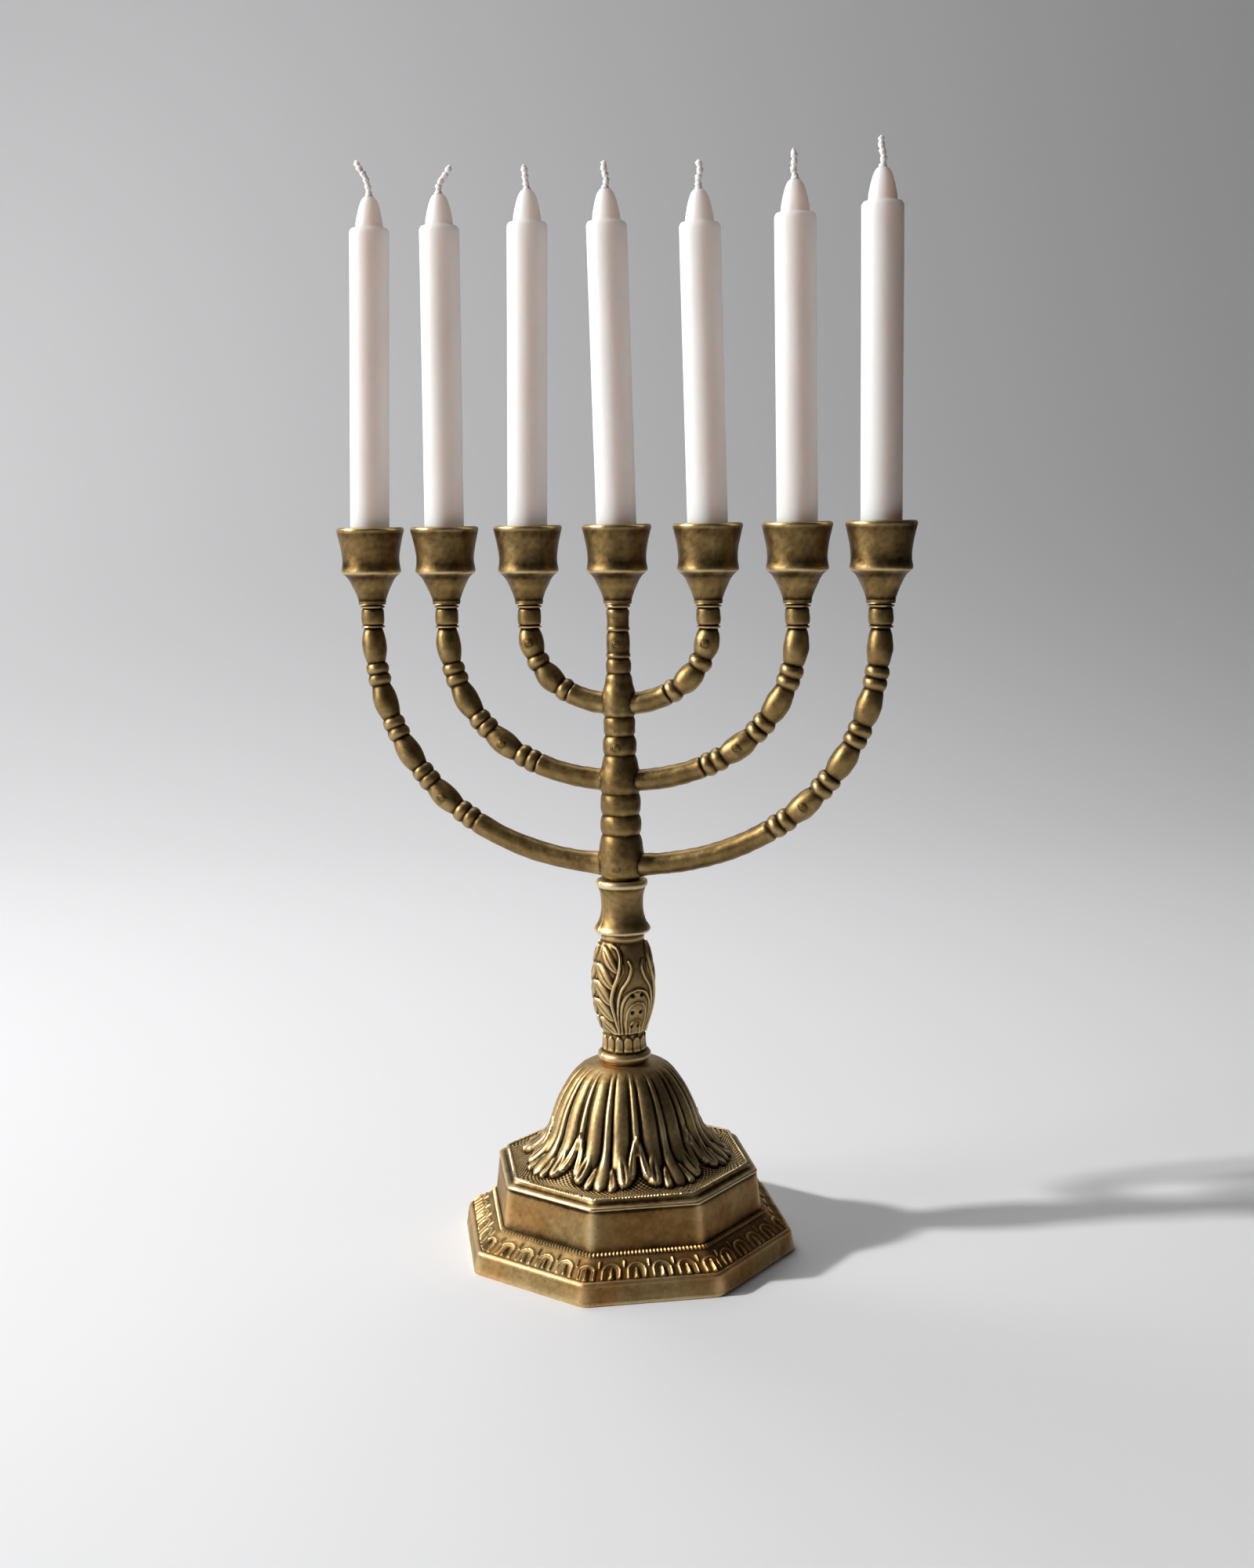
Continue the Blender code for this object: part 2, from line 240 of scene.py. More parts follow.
def add_wear(obj, scale, rounds, slender=False, raw=None):
    """Stores how far each point stands out of (+) or lies under (-) its smoothed surroundings.

    On a slender piece, the roundness of the bars themselves is taken out again.
    The raw points, inside a casting, have the dull level of metal that nothing rubs.
    """
    mesh = obj.data
    co = points_of(mesh)
    edges = np.zeros(len(mesh.edges) * 2, np.int64)
    mesh.edges.foreach_get("vertices", edges)
    a, b = edges.reshape(-1, 2).T
    n = len(co)
    count = np.maximum(np.bincount(a, minlength=n) + np.bincount(b, minlength=n), 1)

    def soften(values, times):
        for _ in range(times):
            around = np.stack([np.bincount(a, values[b, i], n) + np.bincount(b, values[a, i], n)
                               for i in range(values.shape[1])], axis=1) / count[:, None]
            values = 0.4 * values + 0.6 * around
        return values

    normals = np.zeros(n * 3, np.float32)
    mesh.vertex_normals.foreach_get("vector", normals)
    proud = ((co - soften(co, rounds)) * normals.reshape(-1, 3)).sum(axis=1)
    proud -= 0.9 * soften(proud[:, None], 6 * rounds)[:, 0] if slender else np.median(proud)
    wear = np.clip(proud / (scale * MM), -1, 1)
    if raw is not None:
        wear[raw] = UNRUBBED
    store(mesh, "wear", wear)


# ---------------------------------------------------------------- materials

class Nodes:
    """A short way to write a node tree."""

    def __init__(self, name):
        self.material = bpy.data.materials.new(name)
        self.material.use_nodes = True
        self.tree = self.material.node_tree
        self.shader = self.tree.nodes["Principled BSDF"]

    def add(self, kind, inputs=None, **settings):
        node = self.tree.nodes.new(kind)
        for key, value in settings.items():
            setattr(node, key, value)
        for key, value in (inputs or {}).items():
            self.join(value, node.inputs[key])
        return node

    def join(self, value, socket):
        if isinstance(value, bpy.types.NodeSocket):
            self.tree.links.new(value, socket)
        else:
            socket.default_value = value

    def noise(self, where, scale, detail=4.0, roughness=0.55):
        node = self.add("ShaderNodeTexNoise", {"Vector": where, "Scale": scale, "Detail": detail,
                                               "Roughness": roughness})
        return node.outputs["Fac"]

    def math(self, operation, a, b, clamp=False):
        node = self.add("ShaderNodeMath", operation=operation, use_clamp=clamp)
        self.join(a, node.inputs[0])
        self.join(b, node.inputs[1])
        return node.outputs[0]

    def ramp(self, fac, stops):
        node = self.add("ShaderNodeValToRGB", {"Fac": fac})
        ramp = node.color_ramp
        while len(ramp.elements) < len(stops):
            ramp.elements.new(1)
        for element, (position, color) in zip(ramp.elements, stops):
            element.position = position
            element.color = (*color, 1)
        return node.outputs["Color"]

    def mix(self, fac, a, b, blend="MIX"):
        node = self.add("ShaderNodeMix", data_type="RGBA", blend_type=blend)
        self.join(fac, node.inputs[0])
        self.join(a, node.inputs[6])
        self.join(b, node.inputs[7])
        return node.outputs[2]

    def bump(self, height, strength, distance, under=None):
        inputs = {"Height": height, "Strength": strength, "Distance": distance}
        if under is not None:
            inputs["Normal"] = under
        return self.add("ShaderNodeBump", inputs).outputs["Normal"]


def brass(name, copper=0.25, pits=0.3, lift=0.0, matt=0.0, edge=0.5, mottle=0.45):
    """Aged brass: bright where worn, olive on plain faces, brown-black in the recesses.

    copper is how reddish its warm patches are, pits how deep its pores are, lift how much brighter
    it is, matt how much rougher, edge how far wear shows and mottle how cloudy it is.
    """
    m = Nodes(name)
    where = m.add("ShaderNodeTexCoord").outputs["Object"]
    wear = m.add("ShaderNodeAttribute", attribute_name="wear").outputs["Fac"]
    cloud = m.noise(where, 55, 5)
    fine = m.noise(where, 420, 6, 0.7)
    shade = m.math("MULTIPLY_ADD", wear, edge)
    shade.node.inputs[2].default_value = 0.48 + lift
    shade = m.math("ADD", shade, m.math("MULTIPLY", m.math("SUBTRACT", cloud, 0.5), mottle))
    shade = m.math("ADD", shade, m.math("MULTIPLY", m.math("SUBTRACT", fine, 0.5), 0.35), clamp=True)
    color = m.ramp(shade, [
        (0.0, (0.012, 0.007, 0.002)), (0.20, (0.064, 0.036, 0.012)), (0.44, (0.275, 0.183, 0.070)),
        (0.68, (0.510, 0.370, 0.175)), (1.0, (0.800, 0.640, 0.370))])
    patch = m.ramp(m.noise(where, 23, 3), [(0.42, (0, 0, 0)), (0.68, (1, 1, 1))])
    warm = m.mix(1.0, color, (1.0, 0.78, 0.62, 1), "MULTIPLY")
    amount = m.math("MULTIPLY", patch, copper * 1.5, clamp=True)
    color = m.mix(amount, color, warm)
    pit = m.ramp(m.noise(where, 900, 2), [(0.66, (0, 0, 0)), (0.74, (1, 1, 1))])
    color = m.mix(m.math("MULTIPLY", pit, pits), color, (0.03, 0.02, 0.01, 1))
    m.join(color, m.shader.inputs["Base Color"])
    m.shader.inputs["Metallic"].default_value = 0.95
    rough = m.math("MULTIPLY_ADD", fine, 0.26)
    rough.node.inputs[2].default_value = 0.33 + matt
    m.join(m.math("SUBTRACT", rough, m.math("MULTIPLY", wear, 0.08)), m.shader.inputs["Roughness"])
    stretch = m.add("ShaderNodeMapping", {"Vector": where, "Scale": (1.0, 1.0, 0.12)}).outputs["Vector"]
    scratches = m.noise(stretch, 1500, 2)
    normal = m.bump(scratches, 0.10, 0.0004)
    normal = m.bump(fine, 0.22, 0.0006, normal)
    normal = m.bump(pit, -0.35 * pits, 0.0005, normal)
    m.join(normal, m.shader.inputs["Normal"])
    return m.material


def steel(name):
    """Zinc-plated steel with a faint yellowish bloom."""
    m = Nodes(name)
    where = m.add("ShaderNodeTexCoord").outputs["Object"]
    cloud = m.noise(where, 160, 4)
    color = m.ramp(cloud, [(0.3, (0.38, 0.37, 0.34)), (0.7, (0.62, 0.61, 0.57))])
    m.join(color, m.shader.inputs["Base Color"])
    m.shader.inputs["Metallic"].default_value = 1.0
    rough = m.math("MULTIPLY_ADD", cloud, 0.25)
    rough.node.inputs[2].default_value = 0.22
    m.join(rough, m.shader.inputs["Roughness"])
    m.join(m.bump(m.noise(where, 1200, 3), 0.12, 0.0004), m.shader.inputs["Normal"])
    return m.material


def wax(name):
    """White candle wax, faintly cloudy, with the soft skin that dipping leaves."""
    m = Nodes(name)
    where = m.add("ShaderNodeTexCoord").outputs["Object"]
    long = m.add("ShaderNodeMapping", {"Vector": where, "Scale": (1.0, 1.0, 0.3)}).outputs["Vector"]
    cloud = m.noise(long, 38, 4)
    color = m.ramp(cloud, [(0.3, (0.76, 0.735, 0.715)), (0.62, (0.81, 0.80, 0.79))])
    m.join(color, m.shader.inputs["Base Color"])
    m.shader.inputs["Roughness"].default_value = 0.46
    m.shader.inputs["Subsurface Weight"].default_value = 1.0
    m.shader.inputs["Subsurface Radius"].default_value = (1.0, 0.66, 0.52)
    m.shader.inputs["Subsurface Scale"].default_value = 0.018
    m.shader.inputs["Specular IOR Level"].default_value = 0.35
    normal = m.bump(m.noise(long, 90, 3), 0.10, 0.002)
    m.join(m.bump(m.noise(where, 1100, 2), 0.08, 0.0004, normal), m.shader.inputs["Normal"])
    return m.material


def cotton(name):
    """Waxed cotton wick, off-white with flecks."""
    m = Nodes(name)
    where = m.add("ShaderNodeTexCoord").outputs["Object"]
    fleck = m.noise(where, 700, 3)
    m.join(m.ramp(fleck, [(0.35, (0.78, 0.73, 0.69)), (0.6, (0.88, 0.86, 0.84))]),
           m.shader.inputs["Base Color"])
    m.shader.inputs["Roughness"].default_value = 0.7
    m.shader.inputs["Subsurface Weight"].default_value = 0.8
    m.shader.inputs["Subsurface Radius"].default_value = (1.0, 0.7, 0.6)
    m.shader.inputs["Subsurface Scale"].default_value = 0.003
    m.join(m.bump(fleck, 0.4, 0.0004), m.shader.inputs["Normal"])
    return m.material


BRASS = brass("aged_brass", lift=0.06)
BRASS_DARK = brass("aged_brass_dark", copper=0.15, lift=-0.12, matt=-0.03, edge=0.42, mottle=0.28)
BRASS_PLINTH = brass("aged_brass_plinth", copper=0.9, pits=0.8, lift=0.08, matt=0.10, edge=0.3)
STEEL = steel("zinc_plated_steel")
WAX = wax("candle_wax")
COTTON = cotton("wick_cotton")


def dress(obj, material, body, node):
    """Gives a piece its material and the body that it moves with, and hides the CAD node that it stands for."""
    obj.data.materials.append(material)
    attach(obj, body)
    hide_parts(node)


# ---------------------------------------------------------------- base casting

LEAF_TURN = 45.0                       # degrees from leaf to leaf, one per octagon corner
PLATE_Z = 44.5                         # top of the plinth
FINE, MEDIUM, COARSE = 960, 480, 96    # points round the arch band, the leaves and the inside


def leaflet(x, y, root, tip, width, height):
    """A lobe with a pointed root, widest near its rounded tip."""
    dx, dy = tip[0] - root[0], tip[1] - root[1]
    length = math.hypot(dx, dy)
    along = ((x - root[0]) * dx + (y - root[1]) * dy) / length**2
    across = ((y - root[1]) * dx - (x - root[0]) * dy) / length
    t = np.clip(along, 0, 1)
    half = 1.45 * width * t * np.sqrt(1 - t**4)
    dome = np.sqrt(np.clip(1 - (across / np.maximum(half, 1e-3)) ** 2, 0, 1))
    crease = 1 - 0.24 * np.exp(-((across / 0.75) ** 2)) * smoothstep(0.3, 0.5, t)
    return height * dome * crease * smoothstep(0, 0.45, t) * ((along > 0) & (along < 1))


def leaf_relief(theta, s, row, radius):
    """Height of the leaves, flutes and leaf tips over the bare bell, s millimetres below the crown."""
    u = np.degrees(theta)
    u = (u + LEAF_TURN / 2) % LEAF_TURN - LEAF_TURN / 2
    side = np.abs(u)
    start = smoothstep(3, 17, s)
    swell = 0.8 + 0.9 * smoothstep(14, 50, s)

    def flute(centre, width, end, fullness, rise):
        across = np.clip(1 - np.abs((side - centre) / width) ** 2.2, 0, 1) ** fullness
        return rise * across * math.sqrt(max(0.0, 1 - max(0.0, (s - (end - 8)) / 8) ** 2))

    spread = float(smoothstep(44, 62, s))
    rib = flute(0, 3.1 + 1.9 * spread, 64, 0.6, 1.25)
    inner = flute(10.6 + 1.2 * spread, 6.7, 57, 0.8, 1.25)
    border = flute(LEAF_TURN / 2, 2.7, 50, 0.7, 0.95)
    edge = np.interp(side, [0, 5, 11, 15, 18.5, 22.5], [68, 66, 63, 57, 52, 48])
    body = 0.9 * smoothstep(0.7, -0.7, s - edge)
    leaf = start * (body + swell * np.maximum.reduce([rib, inner, border]))
    x, y = np.radians(side) * radius, np.full_like(side, s)
    middle = math.radians(LEAF_TURN / 2) * radius
    lower = np.maximum.reduce([
        leaflet(x, y, (5.6, 41), (12.6, 65.5), 4.6, 3.4),
        leaflet(x, y, (2.6, 50), (7.0, 69), 2.6, 2.9)])
    prong = leaflet(middle - x, y, (0, 33), (4.4, 61.5), 2.5, 3.7)
    prong = np.maximum(prong, leaflet(middle - x, y, (-0.6, 33), (0.6, 48), 1.6, 3.5))
    tip = 3.1 * np.sqrt(np.clip(1 - ((s - 61.6) / 7.2) ** 2 - (x / 4.6) ** 2, 0, 1))
    blend = 7                            # the higher, the sharper the valleys between the lobes
    top = (leaf**blend + lower**blend + prong**blend + tip**blend) ** (1 / blend)
    cover = np.clip(top / 0.5, 0, 1)
    grain = (np.arange(len(theta)) // 2 + row // 2) % 2
    ground = 0.5 * grain * smoothstep(42, 46, s) * (1 - cover)
    return top + ground


def arch_relief(theta, b, radius):
    """Lotus arches on the sloped band, five to a side and one on each corner; b runs up the slope."""
    middle = math.radians(22.5)
    local = (theta % math.radians(45)) - middle
    apothem = radius * math.cos(middle)
    side_length = 2 * apothem * math.tan(middle)
    count = 5
    t = apothem * np.tan(local) / side_length * count
    a = ((t + 1) % 1 - 0.5) * side_length / count
    half = side_length / count / 2
    round_centre = 4.6
    d = np.abs(a) if b < round_centre else np.hypot(a, b - round_centre)
    ring = 0.85 * np.exp(-((d - 4.2) / 0.52) ** 2)
    inner = 0.4 * np.exp(-((d - 3.1) / 0.34) ** 2)
    dart_width = 1.7 * max(0.05, 1 - b / 7.4)
    dart = 1.45 * np.clip(1 - np.abs(a) / dart_width, 0, 1) * (b < 7.4)
    gap = np.abs(np.abs(a) - half)
    spike_width = 0.9 * max(0.05, float(smoothstep(6.4, 9.5, b)))
    spike_span = float(smoothstep(6.2, 7.2, b) * smoothstep(11.4, 10.6, b))
    spike = 0.8 * np.clip(1 - gap / spike_width, 0, 1) * spike_span
    feet = float(smoothstep(0.1, 0.9, b))
    return feet * np.maximum.reduce([ring, inner, dart]) + spike


def base_stretches():
    """The base's profile in named stretches: down its outside from the crown, then back up inside."""
    top = base_high.z
    crown = chain([(ROD_HOLE_R, top), (14, top)], step=4)
    bell = chain(
        [(14, top), (16.6, top - 0.2), (19.4, top - 1), (22.2, 93.1), (24.7, 90), (26.9, 86.6), (28.9, 83.5),
         (30.7, 80.3), (32.2, 77.2), (33.5, 74), (34.7, 70.5), (35.7, 67), (36.7, 63.5), (38, 60), (39.8, 56.6),
         (42.4, 53.2), (45.8, 50), (49.8, 47.2), (53.8, 45.3), (58, 44.5), (64, PLATE_Z)], step=0.62)
    rim = chain(
        [(64, PLATE_Z), (64.3, 45), (65, 45.1), (65.6, 44.5)], [(65.6, 44.5), (66.8, 42.9), (68.6, 42.2)],
        [(68.6, 42.2), (69.7, 41.9), (70.3, 41), (69.9, 40.1)], step=0.5)
    wall = chain([(69.9, 40.1), (70.1, 38.8), (71.1, 30), (72.3, 20.2)], step=1.6)
    bead = chain([(72.3, 20.2), (72.9, 20.3), (73.8, 20.1), (74.3, 19.2)], step=0.42)
    slope = chain([(74.3, 19.2), (85.6, 11.2)], step=0.5)
    foot = chain([(85.6, 11.2), (86.3, 11.3), (87.3, 10.9), (88, 9.9), (88.2, 8.6)], step=0.5)
    skirt = chain([(88.2, 8.6), (89.4, 2)], [(89.4, 2), (89.8, 0.5), (89.5, 0)], step=1.2)
    inside = chain(
        [(86, 0), (84.6, 6.8)], [(84.6, 6.8), (72, 15.2)], [(72, 15.2), (69.2, 17.5), (66.8, 39)],
        [(66.8, 39), (63.5, 41.2)], [(63.5, 41.2), (46, 41.2)],
        [(46, 41.2), (42, 43), (38.6, 54), (35.6, 62), (32.8, 70), (29.6, 77), (24.4, 86), (17.5, 92.7)],
        [(17.5, 92.7), (ROD_HOLE_R, top - 3)], step=3)
    return {"crown": crown, "bell": bell[1:], "rim": rim[1:], "wall": wall[1:], "bead": bead[1:],
            "slope": slope[1:], "foot": foot[1:], "skirt": skirt[1:], "inside": inside}


def make_base():
    stretches = base_stretches()
    rows = np.concatenate(list(stretches.values()))
    kind = [name for name, stretch in stretches.items() for _ in stretch]
    counts = [FINE if k in ("bead", "slope", "foot") else COARSE if k == "inside" else MEDIUM for k in kind]
    first = {name: kind.index(name) for name in stretches}
    s = arc_lengths(rows)
    s_bell = s - s[first["bell"]]
    slope_end = s[first["foot"]] - 0.4
    octagonal = smoothstep(52, 64, rows[:, 0]) * (rows[:, 1] < 60)

    def heights(theta, i):
        radius, z = rows[i]
        x, y = radius * np.cos(theta), radius * np.sin(theta)
        cast = 0.05 * ripple(x, y, z, 7) + 0.03 * ripple(y, z, x, 3)
        if z < 1:
            return 0 * theta
        if kind[i] == "inside":
            return 0.25 * ripple(x, y, z, 9)
        if kind[i] == "bell":
            return cast + leaf_relief(theta, s_bell[i], i, radius)
        if kind[i] == "rim" and i < first["rim"] + 4:
            return cast + 0.5 * (np.arange(len(theta)) % 2)
        if kind[i] == "bead":
            return cast + 0.35 * (1 + np.cos(np.arange(len(theta)) * math.pi / 2))
        if kind[i] == "slope":
            return cast + arch_relief(theta, slope_end - s[i], radius)
        return cast

    rings = turned_rings(rows, counts, heights, octagonal)
    mesh = ring_mesh("base_relief", rings, loop=True)
    obj = put("base_relief", mesh)
    smooth_finish(obj, 60)
    ring_of = np.concatenate([np.full(len(ring), i) for i, ring in enumerate(rings)])
    add_wear(obj, 0.30, 16, raw=ring_of >= first["inside"])
    dress(obj, BRASS, "base", "base_casting")
    obj.data.materials.append(BRASS_PLINTH)
    for polygon in obj.data.polygons:
        if first["wall"] <= ring_of[polygon.vertices[0]] < first["inside"]:
            polygon.material_index = 1


# ---------------------------------------------------------------- stem

STEM_FRONT = math.radians(-90) + CAMERA_TURN + math.radians(28)    # where the palmette faces
STEM_POINTS = 240


def baluster_relief(theta, z):
    """Two palmettes, front and back, each between a pair of scalloped leaves; petals below."""
    phi = (theta - STEM_FRONT + math.pi / 2) % math.pi - math.pi / 2
    x = np.abs(phi) * 14.0
    y = np.full_like(x, z)
    midrib = [(9.0, 110), (11.4, 123), (12.6, 132), (11.2, 139), (9.5, 144), (8.4, 150), (8.6, 155),
              (10.4, 158.2), (13.0, 159.2)]
    rib_x = np.interp(z, [110, 123, 132, 139, 144, 150, 160], [9.0, 11.4, 12.6, 11.2, 9.5, 8.4, 9.0])
    height = 0.45 * smoothstep(-1.0, 0.6, x - rib_x)
    for root, tip, width in (
            ((10.4, 112.5), (20.8, 122), 3.0), ((12.0, 120.5), (22.0, 131.5), 3.5),
            ((12.4, 129), (22.0, 141.2), 3.6), ((11.2, 137.5), (21.6, 150), 3.5),
            ((9.4, 146), (19.4, 158.6), 3.1)):
        height = np.maximum(height, 0.3 + petal(x, y, root, tip, width, 1.35))
    for line, width, rise in (
            (midrib, 0.95, 1.9),
            ([(9.2, 112), (9.8, 125), (7.9, 137), (4.0, 144), (2.9, 149.6), (4.0, 152)], 0.75, 1.25),
            ([(11.4, 137), (8.8, 142.6), (6.8, 148), (6.9, 150.5)], 0.6, 0.8),
            ([(8.0, 112), (8.2, 122), (7.0, 131), (3.6, 136), (0, 137.4)], 0.9, 1.0),
            ([(5.4, 112), (5.6, 121), (4.5, 127), (2.2, 130), (-0.5, 130.8)], 0.7, 1.25),
            ([(3.2, 112), (3.2, 117), (1.7, 120.6), (-0.5, 121.4)], 0.6, 1.45)):
        height = np.maximum(height, ridge_along(x, y, line, width, rise))
    shell = smoothstep(1.1, 0.85, np.hypot(x / 7.6, (z - 122) / 15))
    pits = sum(np.exp(-(((x - 2.3) / 0.95) ** 2 + ((z - level) / 0.8) ** 2))
               for level in (117.6, 125.2, 134.4))
    height = np.maximum(height, shell * 0.75) - 1.3 * pits
    return height * float(smoothstep(110.5, 113, z) * smoothstep(161.5, 159.5, z))


def petal_ring(theta, z):
    """A collar of small upright petals round the foot of the baluster."""
    count = 14
    width = 2 * math.pi / count
    across = (theta % width) / width - 0.5
    tip = 111.2 - 12 * across**2
    face = np.clip(1 - (across / 0.46) ** 2, 0, 1) ** 0.5
    return 0.9 * face * smoothstep(0.5, -0.5, z - tip) * float(smoothstep(102.6, 104, z))


def make_stem():
    bottom, top = stem_low.z, stem_high.z
    flange = chain(
        [(12.6, 101.9), (13.5, 101.2), (13.9, 99.8), (13.5, 98.4), (12.4, 97.4), (11.4, bottom)], step=0.45)
    baluster = chain(
        [(10.6, 164.9), (11.2, 162.6), (10.8, 160.6), (11.9, 158), (13.4, 153), (14.4, 148), (15, 143),
         (15.1, 137), (14.8, 131), (13.9, 125), (12.6, 120), (11.2, 115.5), (10.6, 112), (10.4, 108),
         (10.8, 104), (11.6, 102.4), (12.6, 101.9)], step=0.42)
    spool = chain(
        [(ROD_HOLE_R, top), (12.2, top)],
        [(12.2, top), (13, 191.9), (13.3, 190.8), (13.1, 189.4), (12.2, 188.4)],
        [(12.2, 188.4), (11.5, 186.2), (11, 183.5), (10.8, 180), (10.9, 176.5), (11.5, 173), (12.8, 169.6),
         (14.1, 167.6), (14.5, 166.6), (14.3, 165.6), (13.4, 165)], [(13.4, 165), (10.6, 164.9)], step=0.6)
    bore = chain([(11.4, bottom), (ROD_HOLE_R, bottom)], [(ROD_HOLE_R, bottom), (ROD_HOLE_R, top)], step=8)
    rows = np.concatenate([spool, baluster[1:], flange[1:], bore[1:-1]])
    count = [STEM_POINTS] * (len(rows) - len(bore) + 2) + [STEM_POINTS // 5] * (len(bore) - 2)

    def heights(theta, i):
        radius, z = rows[i]
        if i >= len(rows) - len(bore):
            return 0 * theta
        cast = 0.05 * ripple(radius * np.cos(theta), radius * np.sin(theta), z, 5)
        seam = 0.18 * np.exp(-((np.abs(np.sin(theta - STEM_FRONT)) - 1) / 0.0012) ** 2)
        if 101.9 < z < 113 and radius < 12.7:
            return cast + petal_ring(theta, z) + seam
        if 104 < z < 162:
            return cast + baluster_relief(theta, z) + seam
        return cast + seam * (radius > 9)

    mesh = ring_mesh("stem_relief", turned_rings(rows, count, heights), loop=True)
    obj = put("stem_relief", mesh)
    smooth_finish(obj, 60)
    add_wear(obj, 0.30, 14)
    dress(obj, BRASS, "stem", "stem_baluster")


# ---------------------------------------------------------------- branch frame

ARCH_CENTRE_Z = 322.5
ARCH_POWER = 2.15
ARCHES = [
    {"reach": CUP_X[4], "drop": 40.0, "spindles": 2, "rings": 1, "mark": 1},
    {"reach": CUP_X[5], "drop": 79.0, "spindles": 3, "rings": 2, "mark": 3},
    {"reach": CUP_X[6], "drop": 122.5, "spindles": 4, "rings": 2, "mark": 4},
]
SPINDLE, RING_PITCH = 18.3, 5.7
MARK_R = 2.1                            # the round marks that the mould's ejector pins left
ARM_SIDES = 26
ROD_HOLE_TOP = 223.0


def arch_path(arch):
    """(x, z) of a branch from its tip down its leg and in to the shaft, every 0.6 mm."""
    angle = np.linspace(math.pi / 2, 0, 1200)
    x = arch["reach"] * np.sin(angle) ** (2 / ARCH_POWER)
    z = ARCH_CENTRE_Z - arch["drop"] * np.clip(np.cos(angle), 0, None) ** (2 / ARCH_POWER)
    points = np.concatenate([[(arch["reach"], branch_high.z)], np.stack([x, z], axis=1)])
    lengths = arc_lengths(points)
    at = np.linspace(0, lengths[-1], int(lengths[-1] / 0.6) + 1)
    return np.stack([np.interp(at, lengths, points[:, i]) for i in (0, 1)], axis=1), at


def bead_stretch(length, radius, neck, fullness=0.5):
    """(distance, radius) of one bead between two necks."""
    at = np.linspace(0, 1, 25)
    return at * length, neck + (radius - neck) * np.sin(math.pi * at) ** fullness


def branch_radius(arch, at):
    """Radius along a branch: collar, barrel, then spindles each followed by rings, then the plain bar."""
    stretches = [bead_stretch(1.7, 6.5, 5.0, 0.35), bead_stretch(8.6, 6.0, 4.9, 0.22),
                 bead_stretch(1.6, 6.2, 4.9, 0.4)]
    marks, start = [], sum(stretch[0][-1] for stretch in stretches)
    for spindle in range(arch["spindles"]):
        shrink = 0.8 if arch["spindles"] == 2 else 1.0
        stretches.append(bead_stretch(SPINDLE * shrink, 6.35, 4.5, 0.8))
        marks.append(start + SPINDLE * shrink * 0.5)
        for _ in range(arch["rings"]):
            stretches.append(bead_stretch(RING_PITCH, 6.0, 4.75, 0.6))
        start += SPINDLE * shrink + RING_PITCH * arch["rings"]
    distance, radius, offset = [], [], 0.0
    for length, r in stretches:
        distance.append(offset + length)
        radius.append(r)
        offset += length[-1]
    rest = at[-1] - offset
    share = np.linspace(0, 1, 40)[1:]
    distance.append(offset + share * rest)
    near = smoothstep(0.72, 1.0, share)
    radius.append(5.2 + 0.25 * np.sin(math.pi * share) + 1.5 * near + 0.3 * smoothstep(0.2, 0.0, share))
    result = np.interp(at, np.concatenate(distance), np.concatenate(radius))
    return result, marks[arch["mark"] - 1]


def bar_rings(path, at, radius, side):
    """Rings across a branch; side is 1 on the right and -1 on the left."""
    tangent = np.gradient(path, axis=0)
    tangent /= np.linalg.norm(tangent, axis=1)[:, None]
    psi = turns(ARM_SIDES)
    rings = []
    for (x, z), (tx, tz), r, s in zip(path, tangent, radius, at):
        seam = 0.22 * (np.abs(np.cos(psi)) > 0.995) * (0.6 + 0.4 * math.sin(s * 0.9 + side))
        cast = 0.07 * np.sin(psi * 2 + s * 0.21 + side) + 0.05 * np.sin(psi * 3 - s * 0.55)
        full = r + seam + cast
        out = np.stack([x - tz * full * np.cos(psi), full * np.sin(psi), z + tx * full * np.cos(psi)], axis=1)
        out[:, 0] *= side
        rings.append(out)
    return rings


def make_bar(arch, number):
    path, at = arch_path(arch)
    radius, mark = branch_radius(arch, at)
    right = bar_rings(path, at, radius, 1)
    left = bar_rings(path, at, radius, -1)
    mesh = ring_mesh(f"arch_{number}", right + left[-2::-1], caps=True)
    face_outwards(mesh)
    place = np.array([np.interp(mark, at, path[:, i]) for i in (0, 1)])
    deep = np.interp(mark, at, radius)
    return put(f"arch_{number}", mesh), [(side * place[0], -deep, place[1]) for side in (1, -1)]


def disc(x, y, z, name):
    """A shallow round boss facing the front, with a sunk middle."""
    rows = np.array([(0.1, 0.16), (0.8, 0.15), (1.3, 0.1), (1.45, -0.04), (1.6, -0.04), (1.75, 0.2),
                     (1.95, 0.18), (MARK_R, 0.0), (MARK_R, -1.8)])
    theta = turns(32)
    rings = [np.stack([x + r * np.cos(theta), np.full_like(theta, y - out), z + r * np.sin(theta)], axis=1)
             for r, out in rows]
    mesh = ring_mesh(name, rings, caps=True)
    face_outwards(mesh)
    return put(name, mesh)


